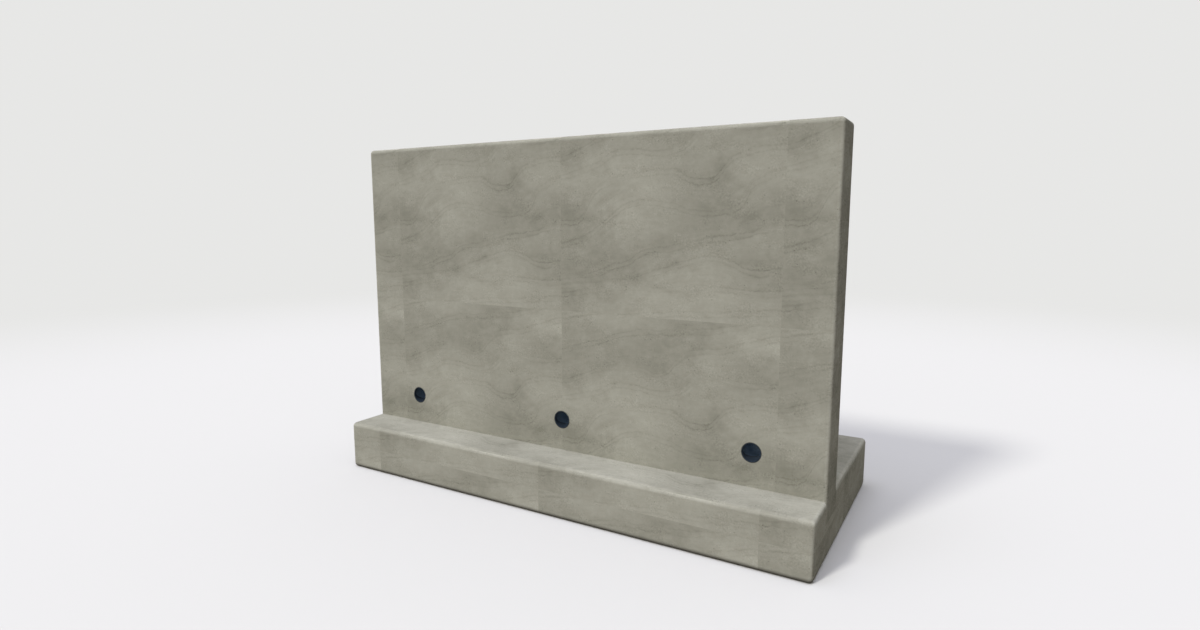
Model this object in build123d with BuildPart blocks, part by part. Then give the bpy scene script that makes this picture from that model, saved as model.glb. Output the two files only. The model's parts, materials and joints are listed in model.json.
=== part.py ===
from build123d import *
import os

# A concrete cantilever retaining wall, one bay long: a footing with a toe and a heel, and an upright
# stem whose foot is let into a rebate along the footing. Three weep pipes run through the stem.
# X runs along the wall, -Y is the open face, +Y is the side that holds the earth, and Z is up.
# The origin is on the ground, under the middle of the footing.

# Driving sizes, in millimetres
wall_length = 3000
footing_thickness = 300
toe_width = 250
stem_thickness = 220
heel_width = 900
stem_height = 1780
rebate_depth = 110
arris_radius = 25

weep_pipe_diameter = 100
weep_pipe_wall = 4
weep_end_distance = 375
weep_height = 180
weep_pipe_names = ["weep_pipe_left", "weep_pipe_centre", "weep_pipe_right"]

# Levels and lines that follow from them
footing_width = toe_width + stem_thickness + heel_width
stem_front_y = -footing_width / 2 + toe_width
stem_middle_y = stem_front_y + stem_thickness / 2
rebate_floor_z = footing_thickness - rebate_depth
weep_radius = weep_pipe_diameter / 2
weep_pitch = (wall_length - 2 * weep_end_distance) / (len(weep_pipe_names) - 1)

# The plane of the stem's open face, with its origin on the line of the weep pipes.
weep_plane = Plane(
    origin=(0, stem_front_y, footing_thickness + weep_height),
    x_dir=(1, 0, 0),
    z_dir=(0, -1, 0),
)
weep_places = GridLocations(weep_pitch, weep_pitch, len(weep_pipe_names), 1)

# The footing's whole block, with every edge rounded, before the stem's foot is let in
with BuildPart() as footing_block:
    with BuildSketch():
        Rectangle(wall_length, footing_width)
    extrude(amount=footing_thickness)
    fillet(footing_block.edges(), arris_radius)

# The stem's block from the rebate's floor to the top, with its upright and top edges rounded
with BuildPart() as stem_block:
    with BuildSketch(Plane.XY.offset(rebate_floor_z)):
        with Locations((0, stem_middle_y)):
            Rectangle(wall_length, stem_thickness)
    extrude(amount=rebate_depth + stem_height)
    upright_edges = stem_block.edges().filter_by(Axis.Z)
    top_edges = stem_block.faces().sort_by(Axis.Z)[-1].edges()
    fillet(upright_edges + top_edges, arris_radius)

# The strip of the footing that the rebate takes out
with BuildPart() as rebate_strip:
    with BuildSketch(Plane.XY.offset(rebate_floor_z)):
        with Locations((0, stem_middle_y)):
            Rectangle(wall_length, stem_thickness)
    extrude(amount=rebate_depth)

# Footing: toe in front, heel behind, and the rebate open at both ends
with BuildPart() as footing:
    add(footing_block.part)
    add(rebate_strip.part, mode=Mode.SUBTRACT)

# Stem: its foot fills the rebate and is flush with the footing's ends and its rounded end edges
with BuildPart() as stem:
    add(rebate_strip.part)
    add(footing_block.part, mode=Mode.INTERSECT)
    add(stem_block.part)
    with Locations(weep_plane):
        with Locations(weep_places.locations):
            Hole(weep_radius, depth=stem_thickness)

footing.part.label = "footing"
stem.part.label = "stem"

# Weep pipes, cast into the stem and cut flush with both of its faces
weep_pipes = {}
for pipe_name, place in zip(weep_pipe_names, weep_places.locations):
    with BuildPart() as weep_pipe:
        with BuildSketch(weep_plane * place):
            Circle(weep_radius)
            Circle(weep_radius - weep_pipe_wall, mode=Mode.SUBTRACT)
        extrude(amount=-stem_thickness)
    weep_pipe.part.label = pipe_name
    weep_pipes[pipe_name] = weep_pipe.part

os.makedirs("parts", exist_ok=True)
export_step(footing.part, "parts/footing.step")
export_step(stem.part, "parts/stem.step")
for pipe_name, pipe in weep_pipes.items():
    export_step(pipe, f"parts/{pipe_name}.step")
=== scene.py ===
"""The finish of a cast concrete retaining wall: a footing, an upright stem and three weep pipes."""

import functools
import json
import math

import bpy
import numpy as np
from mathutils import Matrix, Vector


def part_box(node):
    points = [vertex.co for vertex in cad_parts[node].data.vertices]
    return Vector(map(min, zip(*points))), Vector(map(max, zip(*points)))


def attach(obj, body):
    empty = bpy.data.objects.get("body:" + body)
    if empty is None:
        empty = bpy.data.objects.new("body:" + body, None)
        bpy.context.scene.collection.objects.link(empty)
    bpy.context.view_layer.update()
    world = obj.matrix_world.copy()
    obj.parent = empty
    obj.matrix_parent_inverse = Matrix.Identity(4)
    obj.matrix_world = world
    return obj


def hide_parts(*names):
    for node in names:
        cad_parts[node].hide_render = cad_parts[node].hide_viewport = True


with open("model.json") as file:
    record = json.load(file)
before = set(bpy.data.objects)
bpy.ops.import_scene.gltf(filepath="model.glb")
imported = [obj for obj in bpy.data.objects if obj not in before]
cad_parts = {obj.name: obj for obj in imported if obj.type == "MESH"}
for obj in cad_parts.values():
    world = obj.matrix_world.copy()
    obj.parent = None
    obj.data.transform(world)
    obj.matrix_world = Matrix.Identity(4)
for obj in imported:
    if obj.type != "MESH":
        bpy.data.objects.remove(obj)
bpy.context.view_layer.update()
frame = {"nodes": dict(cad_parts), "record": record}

# Sizes of the wall, in metres, read from the frame
footing_low, footing_high = (np.array(corner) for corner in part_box("footing"))
stem_low, stem_high = (np.array(corner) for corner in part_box("stem"))
footing_middle, stem_middle = (footing_low + footing_high) / 2, (stem_low + stem_high) / 2
footing_top = footing_high[2]
stem_half_thickness = (stem_high[1] - stem_low[1]) / 2

pipe_nodes = [name for name in sorted(frame["nodes"]) if name.startswith("weep_pipe")]
pipe_boxes = {name: [np.array(corner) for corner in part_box(name)] for name in pipe_nodes}
pipe_middles = {name: (low + high) / 2 for name, (low, high) in pipe_boxes.items()}
pipe_middle_y, pipe_height = pipe_middles[pipe_nodes[0]][1:]
first_pipe_x, second_pipe_x = sorted(middle[0] for middle in pipe_middles.values())[:2]
pipe_pitch = second_pipe_x - first_pipe_x
pipe_low, pipe_high = pipe_boxes[pipe_nodes[0]]
pipe_half_length = (pipe_high[1] - pipe_low[1]) / 2
hole_radius = (pipe_high[2] - pipe_low[2]) / 2
bores = [mount for mount in frame["record"]["mounts"] if mount["kind"] == "bore"]
bore_radius = min(bore["dims"]["r_mm"] for bore in bores) / 1000

# Rounded edges
ARRIS_RADIUS = 0.025
ARRIS_STEPS = 6  # faces from a flat side to the middle of a rounded edge
GUARD = 0.003  # a narrow flat strip beside each rounding keeps the shading of the flat side flat
CELL = 0.05  # the largest cell of a flat side
SHARPEST_SMOOTH_TURN = math.radians(32)
TINY = 1e-9  # outweighs rounding errors where a place is exactly on a line, and stands in for a length of 0

# Round holes in the square cells of the stem
HOLE_SQUARE = 0.8 * hole_radius  # half the side of the cells that each hole takes out
HOLE_REACH = 1.8 * hole_radius  # how far from a hole's middle the cells are bent round it
HOLE_STEPS = 16  # cells along each side of the hole
REACH_STEPS = 5  # cells from the hole's edge to its reach
LEDGE = 0.002  # height of the small ledge where the stem's rounded corner stands on its square foot

# Weep pipes, with the radii of their rounded lips
LIP_INSIDE = 0.0012
LIP_OUTSIDE = 0.0006
LIP_STEPS = 4
PIPE_SIDES = 72  # faces round a pipe
PIPE_RINGS = 12  # rings of points along a pipe, between its lips

# Form sheets: the concrete repeats the same cast face on each. An upright seam stands just right of the
# wall's middle. The level ones run halfway up the footing's sides and at a height of their own on the stem.
SHEET = 1.245
SEAM_OFFSET = 0.004
STEM_SEAM_HEIGHT = 1.118
FOOTING_SHEET_CORNER = footing_middle + [SEAM_OFFSET, 0, 0]
STEM_SHEET_CORNER = np.array([SEAM_OFFSET, stem_middle[1], STEM_SEAM_HEIGHT])
SHEET_MAP = "sheet_map"
TURN_MAP = "turn_map"


def divide(stops, steps):
    """Points along a line: the stretch between each two stops is cut into its own number of equal steps."""
    stretches = [np.linspace(a, b, n, endpoint=False) for a, b, n in zip(stops, stops[1:], steps)]
    return np.append(np.concatenate(stretches), stops[-1])


def coarse_steps(stops):
    """How many cells of at most CELL it takes from each stop to the next."""
    return [max(1, math.ceil((b - a) / CELL - TINY)) for a, b in zip(stops, stops[1:])]


def rounded_end(end, inward):
    """Points from a block's end inwards over its rounding. Each falls short of the rounding's inner end by
    the radius times the tangent of an angle, and the angles go from 45 degrees to 0 in equal steps."""
    angles = np.linspace(math.pi / 4, 0, ARRIS_STEPS, endpoint=False)
    return end + inward * ARRIS_RADIUS * (1 - np.tan(angles))


def cut_lines(low, high, stops=(), round_low=True):
    """Where one family of planes cuts a block: coarse cells between the stops, fine ones in rounded ends."""
    first = [low + ARRIS_RADIUS, low + ARRIS_RADIUS + GUARD] if round_low else [low]
    last = [high - ARRIS_RADIUS - GUARD, high - ARRIS_RADIUS]
    every_stop = [*first, *stops, *last]
    middle = divide(every_stop, coarse_steps(every_stop))
    before = rounded_end(low, 1) if round_low else []
    return np.concatenate([before, middle, rounded_end(high, -1)[::-1]])


def with_fine_stretch(lines, middle):
    """Lines for cells that bend round a hole: the ones near its middle are changed for evenly spaced ones,
    fine over the hole and wider from there to its reach."""
    away = lines[np.abs(lines - middle) > HOLE_REACH + GUARD]
    stops = middle + np.array([-HOLE_REACH, -HOLE_SQUARE, HOLE_SQUARE, HOLE_REACH])
    return np.sort(np.append(away, divide(stops, [REACH_STEPS, HOLE_STEPS, REACH_STEPS])))


def skin_of_cells(kept):
    """The skin of a block of cells: one quad wherever a kept cell meets an empty one or the outside. Gives
    the quads as lattice corners, wound so that they face outwards, and the axis that each one faces along."""
    padded = np.pad(kept, 1).astype(np.int8)
    inside = slice(1, -1)
    square = np.array([[0, 0], [1, 0], [1, 1], [0, 1]])
    quads = []
    facings = []
    for axis in range(3):
        across, up = (axis + 1) % 3, (axis + 2) % 3
        window = [inside, inside, inside]
        window[axis] = slice(None)
        change = np.diff(padded, axis=axis)[tuple(window)]
        for sign, winding in ((-1, 1), (1, -1)):
            corner = np.argwhere(change == sign)
            offsets = np.zeros((4, 3), int)
            offsets[:, across] = square[::winding, 0]
            offsets[:, up] = square[::winding, 1]
            quads.append(corner[:, None, :] + offsets)
            facings.append(np.full(len(corner), axis))
    return np.concatenate(quads), np.concatenate(facings)


def rounded(points, inner_low, inner_high):
    """Rounds the edges of a block: a point is the nearest point of the inner block, plus what is left over,
    shortened from its full length to its largest part, which turns the square edge into a quarter circle.
    Also gives how far each place has turned towards the ends: 0 on the front, the back and the top, and 1 on
    the ends."""
    nearest = np.clip(points, inner_low, inner_high)
    over = points - nearest
    length = np.linalg.norm(over, axis=1, keepdims=True)
    largest = np.abs(over).max(axis=1, keepdims=True)
    turned = np.arctan2(np.abs(over[:, 0]), np.hypot(over[:, 1], over[:, 2])) / (math.pi / 2)
    return nearest + over * largest / np.maximum(length, TINY), turned


def bent_round_hole(points, middle):
    """Bends square rings of points round a hole, in the plane of the stem's face: the ring of half side
    HOLE_SQUARE becomes the hole's circle, the one at HOLE_REACH stays, and those between are shared out
    evenly."""
    over = points[:, [0, 2]] - middle[[0, 2]]
    ring = np.abs(over).max(axis=1)
    length = np.linalg.norm(over, axis=1)
    near = (ring < HOLE_REACH) & (ring > HOLE_SQUARE - TINY)
    share = (ring - HOLE_SQUARE) / (HOLE_REACH - HOLE_SQUARE)
    corner_reach = HOLE_REACH * length / np.maximum(ring, TINY)
    wanted = hole_radius + (corner_reach - hole_radius) * share
    scale = np.where(near, wanted / np.maximum(length, TINY), 1.0)
    bent = points.copy()
    bent[:, [0, 2]] = middle[[0, 2]] + over * scale[:, None]
    return bent


def ring_quads(rows, columns, closed=False):
    """The quads of a grid of points, row after row, whose rows are closed rings. Each row is joined to the
    next, and the last one to the first where the grid is closed that way too."""
    row = np.arange(rows if closed else rows - 1)[:, None]
    column = np.arange(columns)[None, :]
    next_row, next_column = (row + 1) % rows, (column + 1) % columns
    corners = [(row, column), (next_row, column), (next_row, next_column), (row, next_column)]
    return np.stack([r * columns + c for r, c in corners], axis=-1).reshape(-1, 4)


def add_to_scene(name, data):
    """Puts a mesh, a lamp or the camera into the scene."""
    thing = bpy.data.objects.new(name, data)
    bpy.context.scene.collection.objects.link(thing)
    return thing


def add_piece(name, mesh, material):
    """Puts a piece into the scene, smooth over its small turns and sharp at its edges."""
    mesh.materials.append(material)
    mesh.shade_smooth()
    mesh.set_sharp_from_angle(angle=SHARPEST_SMOOTH_TURN)
    mesh.update()
    return add_to_scene(name, mesh)


def make_block(name, kept, lines, shape, sheet_corner, material):
    """A piece from a block of cells: its skin, with every lattice point moved by shape. Each quad's sheet map
    is its place on the form sheets, counted in sheets from sheet_corner, in the plane that the quad faces.
    The turn map holds how far each place has turned towards the ends."""
    quads, facings = skin_of_cells(kept)
    counts = [len(line) for line in lines]
    flat_index = np.ravel_multi_index(quads.reshape(-1, 3).T, counts)
    used, corners = np.unique(flat_index, return_inverse=True)
    lattice = np.unravel_index(used, counts)
    points = np.stack([line[index] for line, index in zip(lines, lattice)], axis=1)
    places, turned = shape(points)
    mesh = bpy.data.meshes.new(name)
    mesh.from_pydata(places, [], corners.reshape(-1, 4))

    on_sheets = (places[corners] - sheet_corner) / SHEET
    across = np.array([1, 0, 0])[np.repeat(facings, 4)]
    up = np.array([2, 2, 1])[np.repeat(facings, 4)]
    every = np.arange(len(on_sheets))
    sheet_map = np.stack([on_sheets[every, across], on_sheets[every, up]], axis=1)
    mesh.uv_layers.new(name=SHEET_MAP).uv.foreach_set("vector", sheet_map.astype(np.float32).ravel())
    turns = mesh.attributes.new(TURN_MAP, "FLOAT", "POINT")
    turns.data.foreach_set("value", turned.astype(np.float32))
    return add_piece(name, mesh, material)


def make_footing(material):
    """The footing: a rounded block less the strip of cells that the stem's foot fills."""
    x = cut_lines(footing_low[0], footing_high[0])
    y = cut_lines(footing_low[1], footing_high[1], [stem_low[1], stem_high[1]])
    z = cut_lines(footing_low[2], footing_high[2], [stem_low[2]])
    kept = np.ones((len(x) - 1, len(y) - 1, len(z) - 1), bool)
    under_stem = (y[:-1] > stem_low[1] - TINY) & (y[1:] < stem_high[1] + TINY)
    above_floor = z[:-1] > stem_low[2] - TINY
    kept[:, np.outer(under_stem, above_floor)] = False

    def shape(points):
        return rounded(points, footing_low + ARRIS_RADIUS, footing_high - ARRIS_RADIUS)

    return make_block("footing_cast", kept, (x, y, z), shape, FOOTING_SHEET_CORNER, material)


def footing_top_height(x):
    """The height of the footing's top over x: level, and a quarter circle down at each end."""
    past = np.clip(np.abs(x) - (footing_high[0] - ARRIS_RADIUS), 0, ARRIS_RADIUS)
    return footing_top - ARRIS_RADIUS + np.sqrt(ARRIS_RADIUS**2 - past**2)


def make_stem(material):
    """The stem: a block with rounded upright and top edges on a square foot, less the weep holes' cells."""
    middles = list(pipe_middles.values())
    ledge_height = footing_top + LEDGE
    x = cut_lines(stem_low[0], stem_high[0])
    for middle in middles:
        x = with_fine_stretch(x, middle[0])
    y = cut_lines(stem_low[1], stem_high[1])
    z = cut_lines(stem_low[2], stem_high[2], [footing_top, ledge_height], round_low=False)
    z = with_fine_stretch(z, pipe_height)
    kept = np.ones((len(x) - 1, len(y) - 1, len(z) - 1), bool)
    through = np.ones(len(y) - 1, bool)
    in_row = np.abs((z[:-1] + z[1:]) / 2 - pipe_height) < HOLE_SQUARE
    for middle in middles:
        in_column = np.abs((x[:-1] + x[1:]) / 2 - middle[0]) < HOLE_SQUARE
        kept[np.ix_(in_column, through, in_row)] = False

    def shape(points):
        inner_low = stem_low + ARRIS_RADIUS
        inner_low[2] = stem_low[2]
        upper, turned = rounded(points, inner_low, stem_high - ARRIS_RADIUS)
        for middle in middles:
            upper = bent_round_hole(upper, middle)
        on_ledge = np.isclose(points[:, 2], ledge_height)
        upper[on_ledge, 2] = footing_top_height(upper[on_ledge, 0]) + LEDGE
        foot = points.copy()
        on_foot_top = np.isclose(points[:, 2], footing_top)
        foot[on_foot_top, 2] = footing_top_height(foot[on_foot_top, 0])
        on_foot = points[:, 2] < footing_top + LEDGE / 2
        return np.where(on_foot[:, None], foot, upper), np.where(on_foot, 1, turned)

    return make_block("stem_cast", kept, (x, y, z), shape, STEM_SHEET_CORNER, material)


def lip(centre, radius, start, end):
    """Points of a rounded lip: a quarter circle about centre, from the start angle to the end angle."""
    angles = np.linspace(start, end, LIP_STEPS + 1)
    return np.stack([centre[0] + radius * np.cos(angles), centre[1] + radius * np.sin(angles)], axis=1)


def make_pipe(name, node, material):
    """A weep pipe: a closed profile of radius and depth, with rounded lips, turned about its middle line."""
    low, high = pipe_boxes[node]
    middle = pipe_middles[node]
    depths = np.linspace(low[1] + LIP_INSIDE, high[1] - LIP_INSIDE, PIPE_RINGS)
    outside, inside = hole_radius - LIP_OUTSIDE, bore_radius + LIP_INSIDE
    quarter = math.pi / 2
    profile = np.concatenate([
        np.stack([np.full(PIPE_RINGS, hole_radius), depths], axis=1),
        lip((outside, high[1] - LIP_OUTSIDE), LIP_OUTSIDE, 0, quarter),
        lip((inside, high[1] - LIP_INSIDE), LIP_INSIDE, quarter, 2 * quarter),
        np.stack([np.full(PIPE_RINGS, bore_radius), depths[::-1]], axis=1)[1:-1],
        lip((inside, low[1] + LIP_INSIDE), LIP_INSIDE, 2 * quarter, 3 * quarter),
        lip((outside, low[1] + LIP_OUTSIDE), LIP_OUTSIDE, 3 * quarter, 4 * quarter),
    ])
    turns = np.arange(PIPE_SIDES) * 2 * math.pi / PIPE_SIDES
    radius, depth = profile.T
    x = middle[0] + np.outer(radius, np.cos(turns))
    y = np.tile(depth[:, None], (1, PIPE_SIDES))
    z = middle[2] + np.outer(radius, np.sin(turns))
    mesh = bpy.data.meshes.new(name)
    places = np.stack([x, y, z], axis=-1).reshape(-1, 3)
    mesh.from_pydata(places, [], ring_quads(len(profile), PIPE_SIDES, closed=True))
    return add_piece(name, mesh, material)


class Wire:
    """One socket of a material. An expression on wires adds the Math nodes that work it out."""

    def __init__(self, recipe, socket):
        self.recipe = recipe
        self.socket = socket

    def maths(self, operation, *values, clamp=False):
        """Adds one Math node on wires or numbers."""
        settings = {"operation": operation, "use_clamp": clamp}
        return self.recipe.node("ShaderNodeMath", settings, dict(enumerate(values)))

    def __add__(self, other):
        return self.maths("ADD", self, other)

    def __sub__(self, other):
        return self.maths("SUBTRACT", self, other)

    def __rsub__(self, other):
        return self.maths("SUBTRACT", other, self)

    def __mul__(self, other):
        return self.maths("MULTIPLY", self, other)

    def __truediv__(self, other):
        return self.maths("DIVIDE", self, other)

    def __pow__(self, other):
        return self.maths("POWER", self, other)

    __radd__ = __add__
    __rmul__ = __mul__

    def beside(self, output):
        """Another output of the same node."""
        return Wire(self.recipe, self.socket.node.outputs[output])

    def size(self):
        """This without its sign."""
        return self.maths("ABSOLUTE", self)

    def fraction(self):
        """What this is over the next lower whole number."""
        return self.maths("FRACT", self)

    def least(self, other):
        return self.maths("MINIMUM", self, other)

    def most(self, other):
        return self.maths("MAXIMUM", self, other)

    def between_0_and_1(self):
        return self.maths("ADD", self, 0, clamp=True)

    def rise(self, low, high):
        """0 at low and before it, 1 at high and past it, a smooth step between. Low may be the larger one."""
        settings = {"interpolation_type": "SMOOTHSTEP"}
        return self.recipe.node("ShaderNodeMapRange", settings, {0: self, 1: low, 2: high})

    def bell(self, width):
        """1 where this is 0, falling away on both sides as a bell curve of that half width."""
        return self.maths("EXPONENT", (self / width) ** 2 * -1)


MATT_SHINE = 0.10  # the specular level of every finish on the wall


class Recipe:
    """The nodes of one material, or of the world."""

    def __init__(self, owner):
        owner.use_nodes = True
        self.tree = owner.node_tree
        self.tree.nodes.clear()

    def node(self, kind, settings=None, inputs=None, output=0):
        """Adds a node: its settings first, then the values or wires of its sockets. Gives one output."""
        made = self.tree.nodes.new(kind)
        for name, value in (settings or {}).items():
            if name == "curve":
                self.draw_curve(made.mapping, value)
            else:
                setattr(made, name, value)
        for key, value in (inputs or {}).items():
            if isinstance(value, Wire):
                self.tree.links.new(value.socket, made.inputs[key])
            else:
                made.inputs[key].default_value = value
        return Wire(self, made.outputs[output])

    def draw_curve(self, mapping, points):
        """Sets a curve's points. A new curve has two points, which become the first and the last."""
        mapping.use_clip = False
        curve = mapping.curves[0]
        curve.points[0].location = points[0]
        curve.points[1].location = points[-1]
        for x, y in points[1:-1]:
            curve.points.new(x, y)
        mapping.update()

    def object_place(self):
        """The place on the piece, in the wall's own metres."""
        return self.node("ShaderNodeTexCoord", output=3)

    def vector(self, *parts):
        """A vector put together from three wires or numbers."""
        return self.node("ShaderNodeCombineXYZ", inputs=dict(enumerate(parts)))

    def parts(self, vector):
        """The three parts of a vector or a colour."""
        first = self.node("ShaderNodeSeparateXYZ", inputs={0: vector})
        return first, first.beside(1), first.beside(2)

    def noise(self, vector, scale, detail, roughness=0.5):
        """Soft noise of about 0 to 1."""
        inputs = {"Vector": vector, "Scale": scale, "Detail": detail, "Roughness": roughness}
        return self.node("ShaderNodeTexNoise", inputs=inputs)

    def blend(self, factor, first, second):
        """A colour between two others."""
        settings = {"data_type": "RGBA", "clamp_factor": True}
        return self.node("ShaderNodeMix", settings, {0: factor, 6: first, 7: second}, output=2)

    def seen_or_mirrored(self):
        """1 for what the camera sees, straight or in gloss or glass, and 0 for what only gives light."""
        path = self.node("ShaderNodeLightPath", output=0)
        return path.most(path.beside("Is Glossy Ray")).most(path.beside("Is Transmission Ray"))

    def output(self, surface, kind="ShaderNodeOutputMaterial"):
        """Joins the surface to what the material or the world gives out."""
        made = self.tree.nodes.new(kind)
        self.tree.links.new(surface.socket, made.inputs["Surface"])

    def matt_surface(self, colour, roughness, relief, relief_strength):
        """A matt surface with a fine relief, whose height is in metres."""
        bump = self.node("ShaderNodeBump", inputs={
            "Strength": relief_strength,
            "Distance": 1.0,
            "Height": relief,
        })
        self.output(self.node("ShaderNodeBsdfPrincipled", inputs={
            "Base Color": colour,
            "Roughness": roughness,
            "Specular IOR Level": MATT_SHINE,
            "Normal": bump,
        }))


# The flow lines that the setting concrete left on one form sheet: given points, metres across and up.
# They end 5 mm short of the sheet's edge, and their curves run on to it.
FLOW_LINES = [
    [(0, -0.06), (0.30, -0.02), (0.62, 0.02), (0.93, 0.04), (1.24, 0.07)],
    [(0, 0.09), (0.18, 0.12), (0.40, 0.15), (0.62, 0.15), (0.93, 0.17), (1.10, 0.16), (1.24, 0.16)],
    [(0, 0.14), (0.25, 0.165), (0.42, 0.185), (0.62, 0.25), (0.76, 0.295), (0.90, 0.315), (0.99, 0.295),
     (1.06, 0.262), (1.17, 0.253), (1.24, 0.27)],
    [(0, 0.195), (0.26, 0.228), (0.33, 0.26), (0.43, 0.283), (0.50, 0.335), (0.66, 0.36), (0.85, 0.407),
     (1.02, 0.43), (1.24, 0.483)],
    [(0, 0.368), (0.14, 0.405), (0.24, 0.46), (0.34, 0.54), (0.44, 0.59), (0.55, 0.60), (0.66, 0.582),
     (0.80, 0.543), (0.92, 0.542), (1.01, 0.563), (1.055, 0.61), (1.09, 0.67), (1.16, 0.708), (1.24, 0.73)],
    [(0, 0.496), (0.13, 0.512), (0.165, 0.57), (0.20, 0.635), (0.26, 0.685), (0.36, 0.717), (0.52, 0.742),
     (0.67, 0.748), (0.74, 0.717), (0.80, 0.70), (0.89, 0.702), (0.935, 0.74), (0.98, 0.795), (1.04, 0.82),
     (1.24, 0.842)],
    [(0, 0.74), (0.12, 0.765), (0.24, 0.80), (0.34, 0.855), (0.46, 0.857), (0.61, 0.842), (0.70, 0.855),
     (0.76, 0.885), (0.82, 0.95), (0.90, 0.965), (1.05, 0.945), (1.24, 0.957)],
    [(0, 0.837), (0.13, 0.877), (0.27, 0.943), (0.42, 0.955), (0.53, 0.955), (0.59, 0.937), (0.65, 0.955),
     (0.71, 1.02), (0.79, 1.08), (0.95, 1.10), (1.06, 1.135), (1.24, 1.19)],
    [(0, 1.015), (0.13, 1.055), (0.26, 1.092), (0.36, 1.13), (0.47, 1.157), (0.72, 1.177), (0.95, 1.21),
     (1.24, 1.29)],
    [(0, 1.21), (0.30, 1.27), (1.24, 1.42)],
]

# Darker and lighter patches of one sheet: metres across and up, half width and half height, and how strong
DARK_PATCHES = [
    (0.08, 0.53, 0.30, 0.14, 1.0),
    (0.19, 0.60, 0.16, 0.14, 0.2),
    (0.83, 0.70, 0.28, 0.13, 1.0),
    (0.95, 0.55, 0.42, 0.14, 0.7),
    (1.13, 0.52, 0.42, 0.13, 0.4),
    (0.03, 0.92, 0.42, 0.16, 0.6),
    (0.66, 1.01, 0.28, 0.18, 0.8),
    (0.42, 1.02, 0.40, 0.14, 0.3),
    (0.17, 0.24, 0.58, 0.12, 0.65),
    (0.38, 0.27, 0.24, 0.09, 0.25),
    (0.08, 0.38, 0.44, 0.15, 0.5),
    (0.58, 0.33, 0.36, 0.11, 0.5),
    (1.17, 0.26, 0.38, 0.15, 0.9),
    (0.82, 1.20, 0.30, 0.12, 0.6),
    (0.60, 1.13, 0.36, 0.12, 0.3),
    (1.17, 1.02, 0.38, 0.13, 0.6),
    (0.80, 0.44, 0.40, 0.11, 0.3),
    (0.12, 0.09, 0.38, 0.18, 0.6),
    (0.02, 0.04, 0.20, 0.11, 0.25),
    (0.02, 1.18, 0.20, 0.12, 0.35),
    (0.14, 1.06, 0.44, 0.15, 0.25),
]
LIGHT_PATCHES = [
    (0.53, 0.69, 0.50, 0.17, 0.9),
    (0.41, 0.51, 0.42, 0.16, 0.8),
    (0.88, 0.20, 0.50, 0.20, 0.8),
    (0.62, 0.02, 0.72, 0.18, 1.0),
    (1.18, 1.15, 0.36, 0.15, 1.0),
    (1.20, 1.19, 0.24, 0.12, 0.2),
    (0.84, 1.01, 0.30, 0.12, 0.9),
    (0.08, 0.71, 0.34, 0.12, 0.65),
    (0.37, 0.83, 0.38, 0.13, 0.7),
    (1.14, 0.75, 0.34, 0.15, 0.6),
    (0.28, 1.24, 0.70, 0.10, 0.6),
]

# Where the flow lines fade out
QUIET_PATCHES = [
    (0.37, 0.95, 0.40, 0.10, 1.0),
    (0.77, 1.05, 0.24, 0.18, 1.0),
    (0.38, 0.165, 0.64, 0.09, 1.0),
    (0.22, 0.77, 0.40, 0.10, 0.6),
]

# How the flow lines look and how far noise moves them and the patches, in metres
LINE_EDGE = 0.0042  # half width of each of a line's two edges
LINE_SHADE = 0.020  # half width of the faint shade over the whole line
LEAST_GAP, GAP_SPREAD = 0.004, 0.018  # from a line's middle to its edges
LINE_WOBBLE, LINE_TREMBLE = 0.030, 0.020
PATCH_DRIFT, PATCH_LIFT = 0.35, 0.24

# Heights and depths of the relief, in metres
GRAIN_HEIGHT = 0.0004
CRUMB_HEIGHT = 0.0006
STREAK_HEIGHT = 0.0003
PORE_DEPTH = 0.0014
LINE_DEPTH = 0.0003

# Where the marks that follow the wall's own shape are full and where they are gone, in metres
ABOVE_FOOTING = 0.006  # from the footing's top up to where the stem counts as above it
# painted shade in the corner where the stem stands on the footing
CORNER_SHADE_FULL, CORNER_SHADE_GONE = 0.01, 0.32  # above the footing's top
FOOT_FLOOR_BLUR = 0.002  # below and above the floor of the footing's rebate
FOOT_SIDE_FULL, FOOT_SIDE_GONE = -0.001, 0.003  # past the sides of the stem's foot
# painted contact shadow along the lowest edge, where the wall stands on the ground
CONTACT_SHADE_FULL, CONTACT_SHADE_GONE = 0.012, 0.034  # above the ground
CONTACT_SHADE_WANDER = 0.012
# painted shadow of a hairline gap round each weep pipe
JOINT_FULL, JOINT_GONE = 0.0022, 0.0034  # past the edge of a weep hole

# The concrete's colours. Its tone goes from 0, dark cement, to 1, light cement.
DARK_CEMENT = (0.168, 0.162, 0.123, 1)
LIGHT_CEMENT = (0.409, 0.398, 0.325, 1)
# painted contact shadow along the ground
CONTACT_SHADE_COLOUR = (0.105, 0.100, 0.085, 1)
# painted shadow of the hairline gap round each pipe
JOINT_SHADE = (0.020, 0.022, 0.024, 1)
PLAIN_TONE = 0.482


def add_patches(recipe, place, patches):
    """Soft ovals added up: each rises from its edge to its middle in a smooth step."""
    ovals = []
    for across, up, half_width, half_height, strength in patches:
        centred = recipe.node("ShaderNodeMapping", inputs={
            "Vector": place,
            "Location": (-across / half_width, -up / half_height, 0),
            "Scale": (1 / half_width, 1 / half_height, 1),
        })
        oval = recipe.node("ShaderNodeTexGradient", {"gradient_type": "SPHERICAL"}, {0: centred}, output=1)
        ovals.append(oval.rise(0.0, 1.0) * strength)
    return sum(ovals)


def flow_of(recipe, across, up):
    """The flow at a place on the sheet: its number counts the lines passed on the way up, in parts too, and
    nearest is the upright distance to the nearest line."""
    share_across = across / SHEET
    heights = []
    for line in FLOW_LINES:
        curve = [(x / SHEET, y) for x, y in line]
        heights.append(recipe.node("ShaderNodeFloatCurve", {"curve": curve}, {1: share_across}))
    number = sum(((up - low) / (high - low)).between_0_and_1() for low, high in zip(heights, heights[1:]))
    nearest = functools.reduce(Wire.least, [(up - height).size() for height in heights])
    return number, nearest


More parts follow.
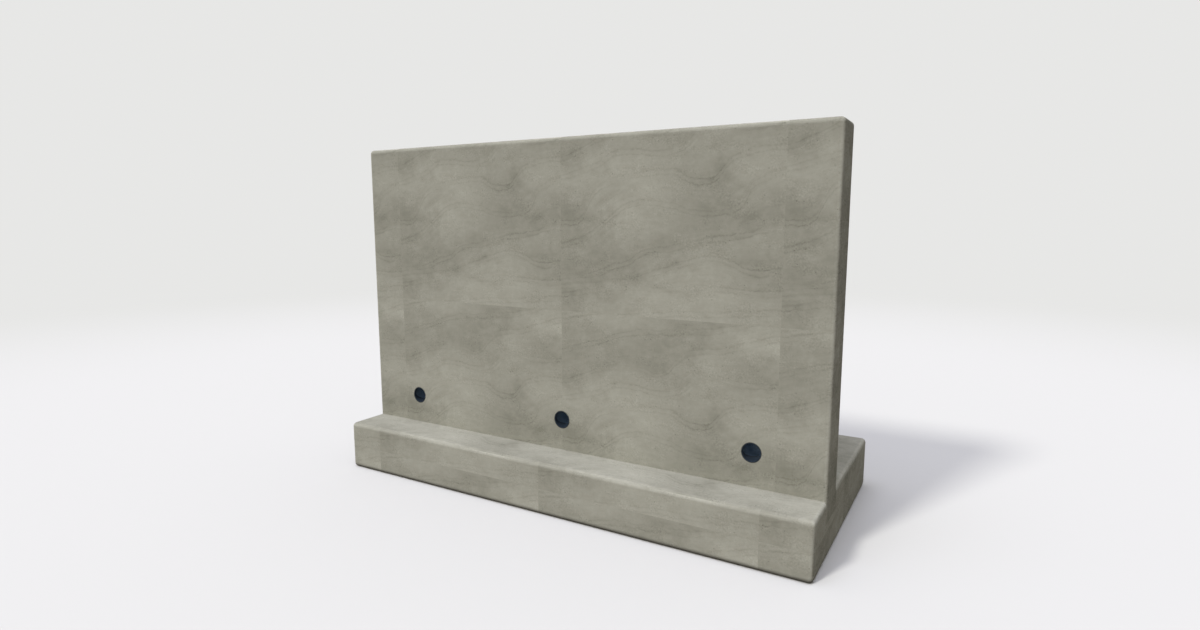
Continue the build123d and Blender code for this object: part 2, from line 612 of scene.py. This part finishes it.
def line_marks(recipe, place, nearest):
    """A flow line: two thin beaded edges, at a varying gap from its middle, and a wide faint shade."""
    gap = LEAST_GAP + GAP_SPREAD * recipe.noise(place, scale=7.0, detail=2.0)
    beads = recipe.noise(place, scale=62.0, detail=3.0, roughness=0.6).rise(0.36, 0.60)
    edges = (nearest - gap).bell(LINE_EDGE) * (0.28 + 0.72 * beads)
    return edges + nearest.bell(LINE_SHADE) * 0.19


def pore_marks(recipe, place, rough):
    """Pores: one in each cell of a fine pattern, each of its own size, with the smallest left out. A pore
    fades from 0.4 of its radius to its edge, and is stronger where the face is rough."""
    from_middle = recipe.node("ShaderNodeTexVoronoi", {"feature": "F1"}, {"Vector": place, "Scale": 60.0})
    chance = recipe.parts(from_middle.beside("Color"))[0]
    size = (chance * 1.25 - 0.25).between_0_and_1() ** 2
    radius = 0.03 + 0.26 * size
    return (from_middle / radius).rise(1.0, 0.4) * size.rise(0.02, 0.10) * (0.25 + 0.75 * rough)


def shape_marks(recipe, place, wobble):
    """Marks that follow the wall's own shape, each from 0 to 1: painted shade on the stem just above the
    footing, the end of the stem's foot in the footing, a painted contact shadow along the ground, and a
    painted shadow of the hairline gap round each pipe."""
    along, depth, height = recipe.parts(place)
    above_footing = height.rise(footing_top, footing_top + ABOVE_FOOTING)
    # painted shade: the stem darker just above the footing
    painted_corner_shade = (1 - height.rise(footing_top + CORNER_SHADE_FULL, footing_top + CORNER_SHADE_GONE)) * above_footing

    above_floor = height.rise(stem_low[2] - FOOT_FLOOR_BLUR, stem_low[2] + FOOT_FLOOR_BLUR)
    from_middle = (depth - stem_middle[1]).size()
    beside = from_middle.rise(stem_half_thickness + FOOT_SIDE_GONE, stem_half_thickness + FOOT_SIDE_FULL)
    foot = (1 - above_footing) * above_floor * beside

    # painted contact shadow: darker along the ground, its top edge wandering a little
    painted_contact_shade = 1 - (height + wobble * CONTACT_SHADE_WANDER).rise(CONTACT_SHADE_FULL, CONTACT_SHADE_GONE)
    from_pipes = [((along - x) ** 2 + (height - z) ** 2) ** 0.5 for x, _, z in pipe_middles.values()]
    from_pipe = functools.reduce(Wire.least, from_pipes)
    # painted shadow of the hairline gap round each pipe
    painted_gap_shade = from_pipe.rise(hole_radius + JOINT_GONE, hole_radius + JOINT_FULL)
    return painted_corner_shade, foot, painted_contact_shade, painted_gap_shade


def concrete_material():
    """Concrete off the form sheets: flow lines with a dark fade above each, soft patches, streaks, pores and
    grain. It has a painted highlight along the arrises of its ends, painted shade on the ends themselves,
    and is coarser on the ends. Painted shade darkens the stem just above the footing, the stem's foot shows
    darker in the footing's ends, a painted contact shadow darkens the lowest edge along the ground, and a
    painted shadow of a hairline gap runs round each pipe."""
    material = bpy.data.materials.new("off_the_form_concrete")
    recipe = Recipe(material)
    own_place = recipe.object_place()
    sheets_across, sheets_up, _ = recipe.parts(recipe.node("ShaderNodeUVMap", {"uv_map": SHEET_MAP}))
    across, up = sheets_across.fraction() * SHEET, sheets_up.fraction() * SHEET
    flat_place = recipe.vector(across, up, 0)

    # The flow lines, which wander a little, and the marks that run along them. Where a place for noise has a
    # third number, that only picks another slice of the noise.
    wobble = recipe.noise(flat_place, scale=9.0, detail=4.0, roughness=0.6) - 0.5
    tremble = recipe.noise(flat_place, scale=42.0, detail=4.0, roughness=0.65) - 0.5
    number, nearest = flow_of(recipe, across, up + wobble * LINE_WOBBLE + tremble * LINE_TREMBLE)
    streak_place = recipe.vector(across * 6.0, number * 9.0, 0)
    streaks = recipe.noise(streak_place, scale=1.0, detail=4.0, roughness=0.62) - 0.5
    smear_place = recipe.vector(across * 3.5, number * 1.8, 3.0)
    smears = recipe.noise(smear_place, scale=1.0, detail=4.0, roughness=0.55)

    # Clouds, and the patches, whose outlines noise moves
    cloud_place = recipe.vector(across, up * 1.4, 7.0)
    clouds = recipe.noise(cloud_place, scale=8.0, detail=5.0, roughness=0.62) - 0.5
    moved = recipe.vector(across + clouds * PATCH_DRIFT, up + wobble * PATCH_LIFT, 0)
    dark = add_patches(recipe, moved, DARK_PATCHES)
    light = add_patches(recipe, moved, LIGHT_PATCHES)

    # The fade above each flow line, and the line itself, loud or quiet from place to place
    passed = number.fraction()
    above_line = (1 - passed) ** 1.6 * passed.rise(0.0, 0.22)
    shade = dark * (0.75 + 0.40 * above_line) + 0.14 * above_line
    loud = 1 - 0.8 * add_patches(recipe, flat_place, QUIET_PATCHES)
    strength = (0.40 + 0.60 * smears.rise(0.34, 0.60)) * (0.60 + 0.45 * dark) * loud
    line = line_marks(recipe, flat_place, nearest) * strength

    # The fine marks, stronger where the face is rough
    rough_place = recipe.vector(across, up * 1.6, 11.0)
    rough = recipe.noise(rough_place, scale=6.0, detail=3.0, roughness=0.6).rise(0.43, 0.60)
    pores = pore_marks(recipe, own_place, rough)
    mottle = recipe.noise(flat_place, scale=32.0, detail=3.0, roughness=0.6) - 0.5
    grain = (recipe.noise(own_place, scale=230.0, detail=2.0, roughness=0.7) - 0.5) * (0.55 + 0.75 * rough)
    crumbs = (recipe.noise(flat_place, scale=105.0, detail=2.0, roughness=0.6) - 0.5) * rough

    # Marks that follow the shape. The painted arris highlight is told by its share of the quarter turn from a
    # side to an end.
    turned = recipe.node("ShaderNodeAttribute", {"attribute_name": TURN_MAP}, output=2)
    # painted highlight: the arrises that turn towards the ends are made paler in colour
    painted_arris_highlight = turned.rise(0.0, 0.35) * turned.rise(0.66, 0.46)
    painted_corner_shade, foot, painted_contact_shade, painted_gap_shade = shape_marks(recipe, own_place, wobble)

    # How much each mark darkens or lightens the plain tone
    tone = PLAIN_TONE - shade * 0.24 + light * 0.18 - line * 0.245
    tone = tone + clouds * (0.44 + 0.30 * turned) + streaks * 0.22 + (smears - 0.5) * 0.12
    tone = tone + (mottle * 0.26 + grain * 0.22 + crumbs * 0.68) * (1 + 1.2 * turned)
    # painted highlight along the end arrises; painted shade just above the footing and over the ends
    tone = tone - pores * 0.42 + painted_arris_highlight * 0.26 - painted_corner_shade * 0.10 - foot * 0.10 - turned * 0.03
    dry = recipe.blend(tone.between_0_and_1(), DARK_CEMENT, LIGHT_CEMENT)
    # painted contact shadow along the ground
    contact_shaded = recipe.blend(painted_contact_shade * 0.8, dry, CONTACT_SHADE_COLOUR)
    # painted shadow of the hairline gap round each pipe
    colour = recipe.blend(painted_gap_shade * 0.85, contact_shaded, JOINT_SHADE)

    roughness = (0.93 - 0.08 * dark - 0.1 * streaks).between_0_and_1()
    relief = grain * GRAIN_HEIGHT + crumbs * CRUMB_HEIGHT + streaks * STREAK_HEIGHT
    relief = relief - pores * PORE_DEPTH - line * LINE_DEPTH
    recipe.matt_surface(colour, roughness, relief, relief_strength=0.6)
    return material


# The plastic's two shades, and the pale painted light that brightens the pipes deeper in, where they lie in
# shade
PLASTIC_DARK = (0.013, 0.020, 0.028, 1)
PLASTIC_LIGHT = (0.017, 0.024, 0.033, 1)
PAINTED_PIPE_LIGHT_COLOUR = (0.268, 0.386, 0.530, 1)
DRAWN_LINE_HEIGHT = 0.0002
PAINTED_LIGHT_START = 0.002  # metres in from the mouth
PAINTED_LIGHT_REACH = 0.070  # metres from there to where it is full

# How far the key light drifts to the right, and how far it falls, for each metre that it travels into a pipe
KEY_DRIFT, KEY_FALL = 0.36, 0.91
KEY_LIT_FULL, KEY_LIT_GONE = 0.002, 0.009  # metres past the outline of the mouth that the key light came through


def pipe_material():
    """Dark drain pipe: blue-black plastic with faint lines along its length. Deeper in, a pale blue painted
    light brightens the pipe where it lies in shade, and is left off where the key light reaches in: where
    the light that hits a place came through the round mouth."""
    material = bpy.data.materials.new("drain_pipe_plastic")
    recipe = Recipe(material)
    place = recipe.object_place()
    stretched = recipe.node("ShaderNodeMapping", inputs={"Vector": place, "Scale": (1.0, 0.05, 1.0)})
    drawn_lines = recipe.noise(stretched, scale=320.0, detail=3.0, roughness=0.6)
    plastic = recipe.blend(drawn_lines, PLASTIC_DARK, PLASTIC_LIGHT)

    along, depth, height = recipe.parts(place)
    sideways = (((along - first_pipe_x) / pipe_pitch + 0.5).fraction() - 0.5) * pipe_pitch
    upwards = height - pipe_height
    past_middle = depth - pipe_middle_y
    into_pipe = past_middle + pipe_half_length
    # the painted light is left off where the key light falls inside the pipe through the round mouth
    traced_to_mouth = ((sideways - into_pipe * KEY_DRIFT) ** 2 + (upwards + into_pipe * KEY_FALL) ** 2) ** 0.5
    key_lit = traced_to_mouth.rise(bore_radius + KEY_LIT_GONE, bore_radius + KEY_LIT_FULL)

    # painted light inside the pipe: paler colour deeper in, where the pipe lies in shade
    inward = ((pipe_half_length - PAINTED_LIGHT_START - past_middle.size()) / PAINTED_LIGHT_REACH).between_0_and_1() ** 0.9
    patchy = 0.75 + 0.25 * recipe.noise(place, scale=45.0, detail=5.0, roughness=0.65)
    painted_pipe_light = inward * patchy * (1 - 0.95 * key_lit)
    colour = recipe.blend(painted_pipe_light, plastic, PAINTED_PIPE_LIGHT_COLOUR)
    recipe.matt_surface(colour, 0.6 + 0.3 * painted_pipe_light, drawn_lines * DRAWN_LINE_HEIGHT, relief_strength=0.3)
    return material


# The studio, in metres and as shares of white. A lamp's direction is the way that its light travels.
BACKGROUND = (0.80, 0.80, 0.79)
FLOOR_SEEN = (0.57, 0.56, 0.52, 1)
FLOOR_BOUNCE = (0.118, 0.100, 0.078, 1)
FLOOR_RADII = (3.0, 6.0, 10.0, 16.0, 25.0, 40.0)
FLOOR_SIDES = 96
FADE_START, FADE_END = 5.0, 13.0  # from the wall, where the floor fades into the background
KEY_DIRECTION = (0.83, 2.29, -2.08)
KEY_STRENGTH = 2.50
KEY_SOFTNESS = math.radians(9)
SKY_TOP = 0.82
SKY_EDGE = SKY_TOP / 3
FILL_DIRECTION = (0.06, 0.30, -0.95)
FILL_STRENGTH = 1.38
FILL_COLOUR = (0.96, 1.0, 1.36)
FILL_SOFTNESS = math.radians(50)


def floor_material():
    """A pale matt floor that fades into the background far out and gives back less light than it shows."""
    material = bpy.data.materials.new("pale_floor")
    recipe = Recipe(material)
    seen = recipe.seen_or_mirrored()
    colour = recipe.blend(seen, FLOOR_BOUNCE, FLOOR_SEEN)
    matt = recipe.node("ShaderNodeBsdfDiffuse", inputs={"Color": colour})
    glow = recipe.node("ShaderNodeEmission", inputs={"Color": (*BACKGROUND, 1), "Strength": seen})
    place = recipe.object_place()
    distance = recipe.node("ShaderNodeVectorMath", {"operation": "LENGTH"}, {0: place}, output=1)
    far = distance.rise(FADE_START, FADE_END)
    recipe.output(recipe.node("ShaderNodeMixShader", inputs={0: far, 1: matt, 2: glow}))
    return material


def make_floor():
    """A wide round floor: rings of points at growing radii, the smallest one filled by a single face."""
    turns = np.arange(FLOOR_SIDES) * 2 * math.pi / FLOOR_SIDES
    x, y = np.outer(FLOOR_RADII, np.cos(turns)), np.outer(FLOOR_RADII, np.sin(turns))
    places = np.stack([x, y, np.zeros_like(x)], axis=-1).reshape(-1, 3)
    middle = list(range(FLOOR_SIDES))
    mesh = bpy.data.meshes.new("studio_floor")
    mesh.from_pydata(places, [], [*ring_quads(len(FLOOR_RADII), FLOOR_SIDES).tolist(), middle])
    mesh.materials.append(floor_material())
    floor = add_to_scene("studio_floor", mesh)


def add_lamp(name, direction, strength, softness, colour=(1, 1, 1)):
    """A lamp that shines everywhere in one direction, with soft-edged shadows."""
    lamp = bpy.data.lights.new(name, "SUN")
    lamp.energy = strength
    lamp.angle = softness
    lamp.color = colour
    stand = add_to_scene(name, lamp)
    stand.rotation_euler = Vector(direction).to_track_quat("-Z", "Y").to_euler()


def make_light():
    """A key light from the front left, a soft fill from above, and a sky that is brighter overhead."""
    add_lamp("key_light", KEY_DIRECTION, KEY_STRENGTH, KEY_SOFTNESS)
    add_lamp("fill_light", FILL_DIRECTION, FILL_STRENGTH, FILL_SOFTNESS, FILL_COLOUR)
    world = bpy.data.worlds.new("studio_sky")
    bpy.context.scene.world = world
    recipe = Recipe(world)
    _, _, upward = recipe.parts(recipe.node("ShaderNodeTexCoord"))
    level = SKY_EDGE + (SKY_TOP - SKY_EDGE) * upward.between_0_and_1()
    seen = recipe.seen_or_mirrored()
    sky = recipe.node("ShaderNodeBackground", inputs={"Color": (1, 1, 1, 1), "Strength": level})
    backdrop = recipe.node("ShaderNodeBackground", inputs={"Color": (*BACKGROUND, 1), "Strength": 1.0})
    either = recipe.node("ShaderNodeMixShader", inputs={0: seen, 1: sky, 2: backdrop})
    recipe.output(either, "ShaderNodeOutputWorld")


# The camera, where the photograph was taken from: metres, radians, and millimetres for its lens and sensor
CAMERA_PLACE = (2.0966, -3.6098, 1.6210)
CAMERA_TURN = 0.5255
CAMERA_TILT = 0.1382
CAMERA_LENS = 20.27
CAMERA_SENSOR = 36.0


def make_camera():
    """A camera turned to the left and tilted a little down, and not rolled."""
    camera = bpy.data.cameras.new("camera")
    camera.lens = CAMERA_LENS
    camera.sensor_width = CAMERA_SENSOR
    stand = add_to_scene("camera", camera)
    stand.location = CAMERA_PLACE
    stand.rotation_euler = (math.pi / 2 - CAMERA_TILT, 0, CAMERA_TURN)
    bpy.context.scene.camera = stand


make_camera()
make_light()
make_floor()
bpy.context.scene.view_settings.view_transform = "Standard"

concrete = concrete_material()
footing = make_footing(concrete)
stem = make_stem(concrete)
for piece, node in ((footing, "footing"), (stem, "stem")):
    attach(piece, "root")
    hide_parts(node)

plastic = pipe_material()
for node in pipe_nodes:
    pipe = make_pipe(node + "_tube", node, plastic)
    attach(pipe, "root")
    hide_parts(node)

bpy.context.view_layer.update()
